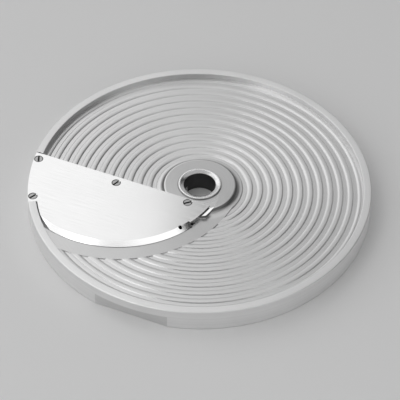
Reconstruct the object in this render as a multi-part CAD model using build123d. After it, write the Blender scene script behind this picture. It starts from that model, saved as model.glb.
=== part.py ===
from build123d import *
import os
from math import acos, atan2, cos, degrees, hypot, radians, sin, sqrt

# Slicing disc of a vegetable cutter: a cast aluminium disc with a ridged plate, a crescent blade
# screwed into seats on the rim, behind the throat and on the hub, and a steel bush for the shaft.
# Sizes are in millimetres and degrees. The blade and its seats are laid out with X along the
# blade's back edge towards the rim and Y towards the cutting edge, then turned to BLADE_ANGLE.

# Rim and plate
DISC_RADIUS = 102.5
RIM_HEIGHT = 14.0
RIM_WIDTH = 4.8
RIM_OUTER_ROUND = 1.2
RIM_INNER_CHAMFER = 0.4
RIM_FOOT_CHAMFER = 0.6
PLATE_DEPTH = 3.6
PLATE_THICKNESS = 4.0
CAST_ROUND = 2.0

# Concentric ridges on the plate
FIRST_GROOVE_RADIUS = 25.45
RIDGE_PITCH = 6.0
GROOVE_WIDTH = 4.0
GROOVE_DEPTH = 0.9
RIDGE_WALL = 0.35
RIDGE_SLOPE = 1.65
GUTTER_WIDTH = 1.6
GUTTER_DEPTH = 0.4
GUTTER_SLOPE = 0.4

# Hub, bush and drive
BOSS_RADIUS = 21.2
BOSS_DROP = 1.2
BOSS_ROUND = 1.6
BOSS_GROOVE_WIDTH = 2.25
BORE_RADIUS = 9.5
BUSH_WALL = 3.3
BUSH_DROP = 0.3
BUSH_FIT = 0.02
BUSH_TOP_CHAMFER = 0.4
LEAD_IN_WIDTH = 2.1
LEAD_IN_DEPTH = 1.0
BUSH_FOOT_CHAMFER = 0.5
DRIVE_SLOT_WIDTH = 6.2
DRIVE_SLOT_DEPTH = 5.0

# Blade outline and ground bevel
BLADE_ANGLE = 157.8
BACK_EDGE_OFFSET = 14.05
BLADE_DEPTH = 55.5
TIP_REACH = 14.4
EDGE_OVERRUN = 13.3
BLADE_THICKNESS = 2.4
BLADE_DROP = 0.8
BLADE_RIM_INSET = 0.4
BLADE_SIDE_GAP = 0.6
TAB_SETBACK = 19.6
BEVEL_WIDTH = 3.1
EDGE_LAND = 0.15
HUB_END_LENGTH = 19.0
HUB_CUTBACK = 2.0
PIN_HOLE_RADIUS = 1.1
PIN_HOLE_INSET = 2.6
PIN_HOLE_BACK = 7.1

# Blade seats, pocket and throat
SEAT_CLEARANCE = 0.3
HUB_SEAT_GAP = 0.9
TAIL_LIP = 1.8
TAIL_RADIUS = 26.0
LAND_WIDTH = 16.0
PAD_WIDTH = 4.0
POCKET_WIDTH = 8.9
THROAT_SETBACK = 1.1

# Blade screws
SCREW_SHANK_RADIUS = 1.5
SCREW_HEAD_RADIUS = 2.75
SCREW_LENGTH = 5.6
SCREW_SINK = 0.1
SCREW_FIT = 0.03
SCREW_SLOT_WIDTH = 0.8
SCREW_SLOT_DEPTH = 0.6
SCREW_HOLE_SPARE = 0.4
SCREW_EDGE_INSET = 4.75
SCREW_RIM_INSET = 3.2
BACK_SCREW_PLACE = 46.1
HUB_SCREW_PLACE = 0.55
HUB_SCREW_INSET = 3.0
SLOT_TURNS = (-68.0, -116.0, -113.0, -138.0)

# Flat on the rim and ribs under the plate
FLAT_DEPTH = 2.4
FLAT_HEIGHT = 8.3
RIB_COUNT = 5
RIB_FIRST_ANGLE = 190.0
RIB_STEP = 40.0
RIB_THICKNESS = 4.0
RIB_DEPTH = 4.0

# Levels above the foot of the rim
PLATE_TOP = RIM_HEIGHT - PLATE_DEPTH
PLATE_BOTTOM = PLATE_TOP - PLATE_THICKNESS
BOSS_TOP = RIM_HEIGHT - BOSS_DROP
BUSH_TOP = RIM_HEIGHT - BUSH_DROP
BLADE_TOP = RIM_HEIGHT - BLADE_DROP
SEAT_LEVEL = BLADE_TOP - BLADE_THICKNESS

# Radii that follow from the sizes above
RIM_INNER = DISC_RADIUS - RIM_WIDTH
BUSH_OUTER = BORE_RADIUS + BUSH_WALL
BUSH_HOLE = BUSH_OUTER + BUSH_FIT
FAR = 4 * DISC_RADIUS
OVERLAP = 1.0

# The cutting edge is one arc. Its chord lies on the back edge's line, from TIP_REACH past the
# disc's axis to EDGE_OVERRUN past the rim, and it rises to BLADE_DEPTH in front of that line.
BACK_EDGE_RIM_X = sqrt(DISC_RADIUS**2 - BACK_EDGE_OFFSET**2)
HALF_CHORD = (BACK_EDGE_RIM_X + EDGE_OVERRUN + TIP_REACH) / 2
EDGE_RADIUS = (HALF_CHORD**2 + BLADE_DEPTH**2) / (2 * BLADE_DEPTH)
EDGE_X = HALF_CHORD - TIP_REACH
EDGE_Y = BACK_EDGE_OFFSET + BLADE_DEPTH - EDGE_RADIUS
TIP_ANGLE = degrees(atan2(BACK_EDGE_OFFSET - EDGE_Y, -TIP_REACH - EDGE_X))
BEVEL_END_ANGLE = TIP_ANGLE - degrees(HUB_END_LENGTH / EDGE_RADIUS)
PIN_HOLE_ANGLE = BEVEL_END_ANGLE - degrees(PIN_HOLE_BACK / EDGE_RADIUS)
HUB_SEAT_RADIUS = EDGE_RADIUS - HUB_CUTBACK + HUB_SEAT_GAP
EDGE_AXIS = Axis((EDGE_X, EDGE_Y, 0), (0, 0, 1))

# The blade's side lies inside the rim, and its corner is where that circle meets the edge's arc.
# The tab over the rim stops TAB_SETBACK short of that corner.
BLADE_SIDE_RADIUS = RIM_INNER - BLADE_SIDE_GAP
EDGE_REACH = hypot(EDGE_X, EDGE_Y)
CORNER_COSINE = (BLADE_SIDE_RADIUS**2 + EDGE_REACH**2 - EDGE_RADIUS**2) / (2 * BLADE_SIDE_RADIUS * EDGE_REACH)
CORNER_ANGLE = degrees(atan2(EDGE_Y, EDGE_X) + acos(CORNER_COSINE))
TAB_END_ANGLE = CORNER_ANGLE - degrees(TAB_SETBACK / DISC_RADIUS)


def polar(radius, angle):
    """A point at a radius and an angle from the origin."""
    return (radius * cos(radians(angle)), radius * sin(radians(angle)))


def front_of(offset):
    """Everything in front of a line parallel to the blade's back edge."""
    return Pos(0, offset) * Rectangle(FAR, FAR, align=(Align.CENTER, Align.MIN))


def wedge(start, end):
    """A wide triangle from the origin between two angles."""
    return make_face(Polyline((0, 0), polar(FAR, start), polar(FAR, end), close=True))


def edge_disc(radius):
    """A disc about the centre of the cutting edge's arc."""
    return Pos(EDGE_X, EDGE_Y) * Circle(radius)


def edge_wedge(start, end):
    """A wide triangle from the centre of the cutting edge's arc."""
    return Pos(EDGE_X, EDGE_Y) * wedge(start, end)


def prism(face, low, high):
    """A flat outline raised between two levels."""
    return extrude(Pos(0, 0, low) * face, high - low, dir=(0, 0, 1))


def turned(points, rounds=(), chamfers=()):
    """A ring turned about the disc's axis from (radius, level) points, with some corners eased."""
    face = make_face(Polyline(*points, close=True))
    for corner, radius in rounds:
        face = fillet(face.vertices().sort_by_distance(Vector(*corner))[0], radius)
    for corner, length in chamfers:
        face = chamfer(face.vertices().sort_by_distance(Vector(*corner))[0], length)
    return revolve(Plane.XZ * face, Axis.Z)


def tab_sector(clearance=0.0):
    """The stretch of rim that the blade's outer end covers."""
    return wedge(0, TAB_END_ANGLE + degrees(clearance / DISC_RADIUS))


def hub_end():
    """The stretch of the blade between the end of the bevel and the tip, seen from the edge's centre."""
    return edge_wedge(BEVEL_END_ANGLE, TIP_ANGLE + 90)


def screw_places():
    """Screw centres: rim behind, rim in front, middle of the back edge, and hub."""
    rim_radius = DISC_RADIUS - SCREW_RIM_INSET
    edge_line = BACK_EDGE_OFFSET + SCREW_EDGE_INSET
    front_angle = TAB_END_ANGLE - degrees(SCREW_EDGE_INSET / rim_radius)
    return (
        (sqrt(rim_radius**2 - edge_line**2), edge_line),
        polar(rim_radius, front_angle),
        (BACK_SCREW_PLACE, edge_line),
        (HUB_SCREW_PLACE, BACK_EDGE_OFFSET + HUB_SCREW_INSET),
    )


def slicing_blade():
    """Crescent of stainless sheet with a bevel ground on the upper face of its round edge."""
    over_rim = Circle(DISC_RADIUS - BLADE_RIM_INSET) & tab_sector()
    within_rim = Circle(BLADE_SIDE_RADIUS)
    outline = edge_disc(EDGE_RADIUS) & front_of(BACK_EDGE_OFFSET) & (within_rim + over_rim)
    outline -= hub_end() - edge_disc(EDGE_RADIUS - HUB_CUTBACK)
    blade = prism(outline, SEAT_LEVEL, BLADE_TOP)

    bevel_face = make_face(
        Polyline(
            (EDGE_RADIUS - BEVEL_WIDTH, BLADE_TOP),
            (EDGE_RADIUS, SEAT_LEVEL + EDGE_LAND),
            (EDGE_RADIUS + OVERLAP, SEAT_LEVEL + EDGE_LAND),
            (EDGE_RADIUS + OVERLAP, BLADE_TOP + OVERLAP),
            (EDGE_RADIUS - BEVEL_WIDTH, BLADE_TOP + OVERLAP),
            close=True,
        )
    )
    ground_away = revolve(Pos(EDGE_X, EDGE_Y, 0) * Plane.XZ * bevel_face, EDGE_AXIS)
    ground_away -= prism(hub_end(), SEAT_LEVEL - OVERLAP, BLADE_TOP + 2 * OVERLAP)
    blade -= ground_away

    for x, y in screw_places():
        blade -= Pos(x, y) * countersink()
    hole_x, hole_y = polar(EDGE_RADIUS - PIN_HOLE_INSET, PIN_HOLE_ANGLE)
    pin_hole = Pos(EDGE_X + hole_x, EDGE_Y + hole_y) * Circle(PIN_HOLE_RADIUS)
    return blade - prism(pin_hole, SEAT_LEVEL - OVERLAP, BLADE_TOP + OVERLAP)


def screw_profile(spare):
    """Countersunk screw about the disc's axis, grown by a clearance."""
    head_top = BLADE_TOP - SCREW_SINK
    cone_foot = head_top - (SCREW_HEAD_RADIUS - SCREW_SHANK_RADIUS)
    return (
        (0, head_top - SCREW_LENGTH),
        (SCREW_SHANK_RADIUS + spare, head_top - SCREW_LENGTH),
        (SCREW_SHANK_RADIUS + spare, cone_foot),
        (SCREW_HEAD_RADIUS + spare, head_top),
    )


def countersink():
    """The hole that a screw's head and shank need in the blade."""
    rise = BLADE_TOP + OVERLAP
    return turned(screw_profile(SCREW_FIT) + ((SCREW_HEAD_RADIUS + SCREW_FIT, rise), (0, rise)))


def blade_screws():
    """Slotted countersunk screws, one for each hole in the blade."""
    head_top = BLADE_TOP - SCREW_SINK
    blank = turned(screw_profile(0.0) + ((0, head_top),))
    slot = Rectangle(4 * SCREW_HEAD_RADIUS, SCREW_SLOT_WIDTH)
    screws = []
    for (x, y), turn in zip(screw_places(), SLOT_TURNS):
        screw = blank - prism(Rot(0, 0, turn) * slot, head_top - SCREW_SLOT_DEPTH, head_top + OVERLAP)
        screws.append(Pos(x, y) * screw)
    return Compound([solid for screw in screws for solid in screw.solids()])


def hub_bush():
    """Steel sleeve with a wide lead-in at the top and a slot for the drive pin at the foot."""
    sleeve = turned(
        (
            (BORE_RADIUS + BUSH_FOOT_CHAMFER, 0),
            (BUSH_OUTER, 0),
            (BUSH_OUTER, BUSH_TOP),
            (BORE_RADIUS + LEAD_IN_WIDTH, BUSH_TOP),
            (BORE_RADIUS, BUSH_TOP - LEAD_IN_DEPTH),
            (BORE_RADIUS, BUSH_FOOT_CHAMFER),
        ),
        chamfers=(((BUSH_OUTER, BUSH_TOP), BUSH_TOP_CHAMFER),),
    )
    return sleeve - prism(Rectangle(FAR, DRIVE_SLOT_WIDTH), -OVERLAP, DRIVE_SLOT_DEPTH)


def turned_blank():
    """Rim, plate and hub as one turned ring, open under the plate, with a groove around the boss."""
    return turned(
        (
            (BUSH_HOLE, 0),
            (BOSS_RADIUS, 0),
            (BOSS_RADIUS, PLATE_BOTTOM),
            (RIM_INNER, PLATE_BOTTOM),
            (RIM_INNER, 0),
            (DISC_RADIUS, 0),
            (DISC_RADIUS, RIM_HEIGHT),
            (RIM_INNER, RIM_HEIGHT),
            (RIM_INNER, PLATE_TOP),
            (BOSS_RADIUS + BOSS_GROOVE_WIDTH, PLATE_TOP),
            (BOSS_RADIUS + BOSS_GROOVE_WIDTH - RIDGE_SLOPE, PLATE_TOP - GROOVE_DEPTH),
            (BOSS_RADIUS, PLATE_TOP - GROOVE_DEPTH),
            (BOSS_RADIUS, BOSS_TOP),
            (BUSH_HOLE, BOSS_TOP),
        ),
        rounds=(
            ((DISC_RADIUS, RIM_HEIGHT), RIM_OUTER_ROUND),
            ((BOSS_RADIUS, BOSS_TOP), BOSS_ROUND),
            ((BOSS_RADIUS, PLATE_BOTTOM), CAST_ROUND),
            ((RIM_INNER, PLATE_BOTTOM), CAST_ROUND),
        ),
        chamfers=(
            ((RIM_INNER, RIM_HEIGHT), RIM_INNER_CHAMFER),
            ((DISC_RADIUS, 0), RIM_FOOT_CHAMFER),
        ),
    )


def groove(inner, outer, depth, inner_side, outer_side):
    """One round groove cut down from the ridge tops, with a slope on each side."""
    return turned(
        (
            (inner, PLATE_TOP + OVERLAP),
            (inner, PLATE_TOP),
            (inner + inner_side, PLATE_TOP - depth),
            (outer - outer_side, PLATE_TOP - depth),
            (outer, PLATE_TOP),
            (outer, PLATE_TOP + OVERLAP),
        )
    )


def grooves():
    """All grooves between the ridges, stopped at the smooth pocket in front of the blade."""
    gutter_start = RIM_INNER - GUTTER_WIDTH
    count = int((gutter_start - FIRST_GROOVE_RADIUS - GROOVE_WIDTH) / RIDGE_PITCH) + 1
    starts = [FIRST_GROOVE_RADIUS + k * RIDGE_PITCH for k in range(count)]
    rings = [groove(r, r + GROOVE_WIDTH, GROOVE_DEPTH, RIDGE_WALL, RIDGE_SLOPE) for r in starts]
    rings.append(groove(gutter_start, RIM_INNER, GUTTER_DEPTH, GUTTER_SLOPE, 0))
    beside_hub = Rectangle(FAR, FAR, align=(Align.MAX, Align.MIN))
    pocket = edge_disc(EDGE_RADIUS + POCKET_WIDTH) & (front_of(BACK_EDGE_OFFSET) + beside_hub)
    smooth = prism(pocket, PLATE_TOP - 2 * GROOVE_DEPTH, PLATE_TOP + 2 * OVERLAP)
    return [ring - smooth for ring in rings]


def tail():
    """Arm of the hub boss that carries the blade's tip, with a lip beside its edge."""
    reach = Circle(TAIL_RADIUS) - Circle(BUSH_HOLE)
    return edge_disc(HUB_SEAT_RADIUS + TAIL_LIP) & front_of(BACK_EDGE_OFFSET) & reach


def blade_pad():
    """Thickening inside the rim under the blade's outer end."""
    inside = Circle(RIM_INNER + RIM_WIDTH / 2) - Circle(RIM_INNER - PAD_WIDTH)
    return inside & front_of(BACK_EDGE_OFFSET - SEAT_CLEARANCE) & tab_sector(SEAT_CLEARANCE)


def blade_land():
    """Strip of the casting that the blade lies on, behind the throat and along the rim."""
    strip = front_of(BACK_EDGE_OFFSET - SEAT_CLEARANCE) - front_of(BACK_EDGE_OFFSET + LAND_WIDTH)
    strip &= Rectangle(FAR, FAR, align=(Align.MIN, Align.CENTER)) & Circle(RIM_INNER + RIM_WIDTH / 2)
    return strip - Circle(BUSH_HOLE) + blade_pad()


def throat():
    """Opening under the cutting edge that the slices fall through."""
    opening = edge_disc(EDGE_RADIUS - THROAT_SETBACK) & front_of(BACK_EDGE_OFFSET + LAND_WIDTH)
    return (opening & Circle(RIM_INNER)) - Circle(TAIL_RADIUS) - blade_pad()


def blade_recess():
    """Cut in the rim and the boss that lets the blade lie below their tops."""
    reach = Circle(RIM_INNER) + tab_sector(SEAT_CLEARANCE)
    return edge_disc(HUB_SEAT_RADIUS) & front_of(BACK_EDGE_OFFSET - SEAT_CLEARANCE) & reach


def ribs():
    """Straight ribs under the plate from the hub to the rim, on the side away from the throat."""
    length = RIM_INNER - BOSS_RADIUS + 2 * OVERLAP
    bar = Pos(BOSS_RADIUS - OVERLAP, 0) * Rectangle(length, RIB_THICKNESS, align=(Align.MIN, Align.CENTER))
    rib = prism(bar, PLATE_BOTTOM - RIB_DEPTH, PLATE_BOTTOM + OVERLAP)
    return [Rot(0, 0, RIB_FIRST_ANGLE + k * RIB_STEP) * rib for k in range(RIB_COUNT)]


def disc_body():
    """Aluminium casting: turned blank with ribs, blade seats, throat, grooves and a flat on the rim."""
    body = turned_blank() - grooves()
    body += ribs()
    body += prism(blade_land(), PLATE_BOTTOM, SEAT_LEVEL)
    body += prism(tail(), PLATE_BOTTOM, BOSS_TOP)
    body -= prism(blade_recess(), SEAT_LEVEL, RIM_HEIGHT + OVERLAP)
    body -= prism(throat(), -OVERLAP, RIM_HEIGHT + OVERLAP)
    hole_foot = BLADE_TOP - SCREW_SINK - SCREW_LENGTH - SCREW_HOLE_SPARE
    screw_hole = Circle(SCREW_SHANK_RADIUS + SCREW_FIT)
    for x, y in screw_places():
        body -= prism(Pos(x, y) * screw_hole, hole_foot, RIM_HEIGHT)
    return body - prism(front_of(DISC_RADIUS - FLAT_DEPTH), -OVERLAP, FLAT_HEIGHT)


os.makedirs("parts", exist_ok=True)
for make_piece in (disc_body, slicing_blade, hub_bush, blade_screws):
    piece = make_piece().rotate(Axis.Z, BLADE_ANGLE)
    export_step(piece, f"parts/{make_piece.__name__}.step")
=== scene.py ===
# %% [markdown]
# A slicing disc for a vegetable cutter is a cast aluminium wheel, turned on a lathe, with a
# crescent blade screwed over an opening and a steel bush for the machine's shaft. This lesson
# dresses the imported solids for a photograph. Nearly every surface of the disc was made by turning,
# so nearly every mesh here is a profile carried round an axis, worked out as numpy arrays.

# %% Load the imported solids
import bmesh
import bpy
import numpy as np
from mathutils import Matrix, Vector
from mathutils.geometry import delaunay_2d_cdt


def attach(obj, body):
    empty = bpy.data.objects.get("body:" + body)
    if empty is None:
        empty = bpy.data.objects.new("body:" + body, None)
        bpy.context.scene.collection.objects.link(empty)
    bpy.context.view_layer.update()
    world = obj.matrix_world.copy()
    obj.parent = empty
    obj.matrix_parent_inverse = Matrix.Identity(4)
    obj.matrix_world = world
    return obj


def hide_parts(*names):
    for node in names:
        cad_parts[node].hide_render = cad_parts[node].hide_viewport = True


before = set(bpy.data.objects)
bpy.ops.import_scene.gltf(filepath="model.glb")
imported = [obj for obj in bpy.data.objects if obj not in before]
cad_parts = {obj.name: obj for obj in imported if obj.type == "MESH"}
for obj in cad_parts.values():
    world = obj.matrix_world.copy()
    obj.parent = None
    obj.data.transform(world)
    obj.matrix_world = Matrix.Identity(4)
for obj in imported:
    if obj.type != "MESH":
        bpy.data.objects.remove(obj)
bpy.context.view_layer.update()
print("solids:", sorted(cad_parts))

# %% [markdown]
# The camera comes first, because every later choice is judged through it. A long lens far away
# keeps the rim's ellipse nearly even, as a product photographer would. The camera could be aimed
# with a constraint, but writing its three axes down gives the exact tilt, and a small roll with it.

# %% Camera
CAMERA_PLACE = (0.00031, -0.7841, 0.7980)
CAMERA_DOWN = np.radians(45.52)
CAMERA_ROLL = np.radians(0.85)
LENS, SENSOR_WIDTH, NEAR_CLIP = 167.5, 36.0, 0.01

right = np.array([1.0, 0.0, 0.0])
forward = np.array([0.0, np.cos(CAMERA_DOWN), -np.sin(CAMERA_DOWN)])
upward = np.cross(right, forward)
camera_x = np.cos(CAMERA_ROLL) * right + np.sin(CAMERA_ROLL) * upward
camera_y = -np.sin(CAMERA_ROLL) * right + np.cos(CAMERA_ROLL) * upward
axes = np.eye(4)
axes[:3, :3] = np.column_stack([camera_x, camera_y, -forward])
axes[:3, 3] = CAMERA_PLACE
camera = bpy.data.objects.new("product_camera", bpy.data.cameras.new("product_camera"))
camera.data.lens = LENS
camera.data.sensor_width = SENSOR_WIDTH
camera.data.clip_start = NEAR_CLIP
camera.matrix_world = Matrix(axes.tolist())
bpy.context.scene.collection.objects.link(camera)
bpy.context.scene.camera = camera
bpy.context.scene.view_settings.view_transform = "Standard"
print("camera at", CAMERA_PLACE, "looking down", round(float(np.degrees(CAMERA_DOWN)), 2), "degrees")

# %% [markdown]
# Every piece is laid out in millimetres, with X along the blade's back edge towards the rim and Y
# towards the cutting edge, because the drawing is simplest there. The last step turns the layout
# to where the blade lies in the photograph and brings it to metres.

# %% From the layout to the scene
MM = 0.001
BLADE_TURN = np.radians(157.8)
MERGE = 1e-6
SMOOTH_BELOW = np.radians(32)


def to_scene(points):
    """Layout points in millimetres, turned about Z by the blade's angle and brought to metres."""
    c, s = np.cos(BLADE_TURN), np.sin(BLADE_TURN)
    turn = np.array([[c, s, 0.0], [-s, c, 0.0], [0.0, 0.0, 1.0]])
    return points.reshape(-1, 3) @ turn * MM


def grid_quads(rows, columns, close_rows, close_columns):
    """Corner numbers of the quads of a grid, row after row, with an edge joined round where asked."""
    i = np.arange(rows if close_rows else rows - 1)[:, None]
    j = np.arange(columns if close_columns else columns - 1)[None, :]
    below, beside = (i + 1) % rows, (j + 1) % columns
    corners = [i * columns + j, below * columns + j, below * columns + beside, i * columns + beside]
    return np.stack(np.broadcast_arrays(*corners), axis=-1)


def finish_piece(name, points, faces, node, slot, **attributes):
    """A merged mesh with outward faces that stands for a solid and rides on the disc.

    Each further argument is a value for every point, which the mesh keeps under the argument's name.
    """
    mesh = bpy.data.meshes.new(name)
    mesh.from_pydata(points, [], faces)
    for label, values in attributes.items():
        mesh.attributes.new(label, "FLOAT", "POINT").data.foreach_set("value", values.astype(np.float32))
    shape = bmesh.new()
    shape.from_mesh(mesh)
    bmesh.ops.remove_doubles(shape, verts=shape.verts, dist=MERGE)
    bmesh.ops.dissolve_degenerate(shape, edges=shape.edges, dist=MERGE / 10)
    bmesh.ops.recalc_face_normals(shape, faces=shape.faces)
    open_edges = sum(not edge.is_manifold for edge in shape.edges)
    shape.to_mesh(mesh)
    shape.free()
    mesh.polygons.foreach_set("use_smooth", np.ones(len(mesh.polygons), bool))
    mesh.set_sharp_from_angle(angle=SMOOTH_BELOW)
    piece = bpy.data.objects.new(name, mesh)
    bpy.context.scene.collection.objects.link(piece)
    piece.modifiers.new("flat_faces_stay_flat", "WEIGHTED_NORMAL").keep_sharp = True
    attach(piece, "root")
    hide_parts(node)
    print(name, "faces", len(mesh.polygons), "open edges", open_edges)
    return piece


# %% [markdown]
# The casting is the main piece: a rim, a plate with concentric ridges, a hub, and the seats, throat
# and pocket of the blade. It could be cut from a solid with booleans, but their long thin triangles
# shade badly on turned metal. Here it is one closed grid. Rows run round the section, out along the
# top and back along the underside, and columns run round the axis. The columns bend, so that some
# of them follow the borders of the blade's seat, and a step in height is two columns or two rows
# in one place.

# %% Sizes of the casting, in millimetres
RIM_OUTER, RIM_INNER, RIM_TOP = 102.5, 97.7, 14.0
RIM_ROUND, RIM_INNER_EASE, FOOT_EASE = 0.8, 0.4, 0.6
PLATE_TOP, PLATE_FOOT = 10.4, 6.4
HUB_HOLE, BOSS_RADIUS, BOSS_TOP, BOSS_ROUND = 12.82, 21.2, 12.8, 0.8
SEAT = 10.8
BACK_EDGE, SEAT_CLEARANCE, LAND_WIDTH = 14.05, 0.3, 16.0
SEAT_START = BACK_EDGE - SEAT_CLEARANCE
LAND_END = BACK_EDGE + LAND_WIDTH
TAIL_RADIUS, PAD_INNER = 26.0, 93.7
FLAT_PLANE, FLAT_HEIGHT = 100.1, 8.3
CAST_ROUND = 2.0
LIP_TILT, LIP_START, LIP_FADE = 0.14, 17.5, 1.3
POCKET_CLIMB, CLIMB_FADE = 0.2, 10.0
RIB_HALF, RIB_DEPTH, RIB_ANGLES = 2.0, 4.0, 190.0 + 40.0 * np.arange(5)

# %% [markdown]
# The cutting edge is one arc. Its chord lies on the line of the back edge, and the arc's centre
# follows from the chord and the rise. Seat, lip and pocket are circles about the same centre.

# %% The cutting edge's circle
BLADE_DEPTH, TIP_REACH, EDGE_OVERRUN = 55.5, 14.4, 13.3
half_chord = (np.sqrt(RIM_OUTER**2 - BACK_EDGE**2) + EDGE_OVERRUN + TIP_REACH) / 2
EDGE_RADIUS = (half_chord**2 + BLADE_DEPTH**2) / (2 * BLADE_DEPTH)
EDGE_X = half_chord - TIP_REACH
EDGE_Y = BACK_EDGE + BLADE_DEPTH - EDGE_RADIUS
EDGE_REACH = np.hypot(EDGE_X, EDGE_Y)
EDGE_TURN = np.degrees(np.arctan2(EDGE_Y, EDGE_X))
EDGE_OVERHANG, LIP_WIDTH, POCKET_WIDTH = 1.1, 1.8, 8.9
THROAT_RADIUS = EDGE_RADIUS - EDGE_OVERHANG
LIP_RADIUS = THROAT_RADIUS + LIP_WIDTH
POCKET_RADIUS = EDGE_RADIUS + POCKET_WIDTH


def edge_angle(radius, reach):
    """Angle where a circle about the axis meets a circle of radius reach about the edge's centre.

    By the law of cosines its cosine, from the line of centres, is the sum of the squares of radius
    and distance, less the square of reach, over twice their product.
    """
    cosine = (radius**2 + EDGE_REACH**2 - reach**2) / (2 * radius * EDGE_REACH)
    return EDGE_TURN + np.degrees(np.arccos(np.clip(cosine, -0.99, 1.0)))


TAB_SETBACK, SIDE_INSET = 19.6, 0.6
BLADE_SIDE = RIM_INNER - SIDE_INSET
TAB_END = edge_angle(BLADE_SIDE, EDGE_RADIUS) - np.degrees(TAB_SETBACK / RIM_OUTER)
PAD_END = TAB_END + np.degrees(SEAT_CLEARANCE / RIM_OUTER)
print("edge radius in mm", round(float(EDGE_RADIUS), 2), "tab ends at degrees", round(float(TAB_END), 2))

# %% [markdown]
# The plan of the casting falls into zones round the axis: the land that the blade lies on, two
# parts of the throat, the lip in front of it, the smooth pocket, and the ridged plate, which the
# ribs underneath divide. At each radius the borders between the zones are angles.

# %% Borders of the zones at each radius
RIM_FLAT = np.degrees(np.arcsin(FLAT_PLANE / RIM_OUTER))
POCKET_TAIL = 25.15


def line_angle(offset, radius):
    """Angle where a line this far in front of the axis crosses a circle: the arcsine of their ratio."""
    return np.degrees(np.arcsin(np.minimum(1.0, offset / radius)))


def zone_borders(radius):
    """Angles of the zones' borders at each radius, in order round the axis from the back edge."""
    inside = np.minimum(radius, RIM_INNER)
    back = line_angle(SEAT_START, radius)
    throat = np.minimum(180 - back, edge_angle(radius, THROAT_RADIUS))
    land = np.minimum(line_angle(LAND_END, radius), throat)
    at_pad = [line_angle(LAND_END, PAD_INNER), edge_angle(PAD_INNER, THROAT_RADIUS)]
    share = (PAD_END - at_pad[0]) / (at_pad[1] - at_pad[0])
    pad = np.where(radius >= PAD_INNER, PAD_END, land + share * (throat - land))
    lip = np.maximum(throat, edge_angle(inside, LIP_RADIUS))
    pocket = np.maximum(lip, edge_angle(np.maximum(inside, POCKET_TAIL), POCKET_RADIUS))
    rib_half = line_angle(RIB_HALF, np.clip(radius, BOSS_RADIUS, RIM_INNER))
    ribs = [angle + side * rib_half for angle in RIB_ANGLES for side in (-1, 1)]
    rim_pocket = edge_angle(RIM_INNER, POCKET_RADIUS)
    rim_rib = RIB_ANGLES[0] - line_angle(RIB_HALF, RIM_INNER)
    shares = [(angle - rim_pocket) / (rim_rib - rim_pocket) for angle in (RIM_FLAT, 180 - RIM_FLAT)]
    flat = [pocket + (ribs[0] - pocket) * share for share in shares]
    return np.array([back, land, pad, throat, lip, pocket, *flat, *ribs, 360 + back])


ZONES = ["land", "throat_near", "throat_far", "lip", "pocket", "plate", "plate", "plate"]
ZONES += ["rib", "plate"] * len(RIB_ANGLES)
STEPS = [12, 8, 8, 4, 12, 16, 16, 58] + [2, 26] * (len(RIB_ANGLES) - 1) + [2, 14]
column_zone = np.repeat(ZONES, np.array(STEPS) + 1)
print("zones", len(ZONES), "columns", len(column_zone))


def column_angles(radius):
    """Angles of all columns at each radius: even steps between one border of a zone and the next."""
    borders = zone_borders(radius)
    spans = [
        borders[k][:, None] + (borders[k + 1] - borders[k])[:, None] * np.linspace(0, 1, step + 1)
        for k, step in enumerate(STEPS)
    ]
    return np.radians(np.concatenate(spans, axis=1))


# %% [markdown]
# Each ridge is lopsided, as a form tool leaves it: outwards it drops in a steep wall, and inwards it
# rolls down in a long wave. Seen from one side the waves catch the light, and from the other
# side the walls and waves go dark, which gives the plate its soft grey rings.

# %% Profile of the ridges
FIRST_GROOVE, PITCH, GROOVE_DEPTH = 25.45, 6.0, 0.53
WALL_PLACES = np.array([-0.3, -0.12, 0.05, 0.5])
WALL_DROPS = np.array([0.0, 0.05, 0.2, 1.0]) * GROOVE_DEPTH
ROLL_START, ROLL_END, ROLL_POWER = 2.62, 5.2, 4.0
LAST_RIDGE, GUTTER_START, GUTTER_SLOPE, GUTTER_DEPTH = 95.45, 96.1, 0.4, 0.4
COVE_END, COVE_RADIUS = 24.8, 4.0


def circle_rise(distance, radius):
    """Height of a circle above its lowest point: its radius less the root of the squares' difference."""
    return radius - np.sqrt(np.maximum(0, radius**2 - distance**2))


def ridge_height(radius):
    """Height of the ridged plate.

    The place within one pitch gives the drop below the ridge tops: the wall is a broken line, the
    floor is level, and the roll falls as a power of the share that is left, so that it starts steep
    and eases out to the next ridge's top.
    """
    place = (radius - FIRST_GROOVE - WALL_PLACES[0]) % PITCH + WALL_PLACES[0]
    wall = np.interp(place, WALL_PLACES, WALL_DROPS)
    share = np.clip((place - ROLL_START) / (ROLL_END - ROLL_START), 0, 1)
    roll = (1 - share) ** ROLL_POWER
    drop = np.where((radius > COVE_END) & (radius < LAST_RIDGE), wall * roll, 0.0)
    gutter = GUTTER_DEPTH * np.clip((radius - GUTTER_START) / GUTTER_SLOPE, 0, 1)
    cove = circle_rise(np.clip(COVE_END - radius, 0, COVE_RADIUS), COVE_RADIUS)
    return PLATE_TOP - np.maximum(drop, gutter) + cove


RIDGES = 12
ridge_places = np.concatenate([WALL_PLACES, [ROLL_START, 2.85, 3.05, 3.3, 3.65, 4.1, 4.6, ROLL_END]])
ridge_radii = (FIRST_GROOVE + PITCH * np.arange(RIDGES)[:, None] + ridge_places).ravel()
ridge_radii = np.append(ridge_radii, [GUTTER_START, GUTTER_START + GUTTER_SLOPE])
cove_radii = BOSS_RADIUS + (COVE_END - BOSS_RADIUS) * np.linspace(0, 1, 9) ** 1.4
print("rows for ridges", len(ridge_radii))

# %% [markdown]
# The rows of the top follow, in bands from the hub to the rim. Both ends of a band are kept, so the
# border of two bands is two rows in one place, and the height may jump there.

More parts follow.
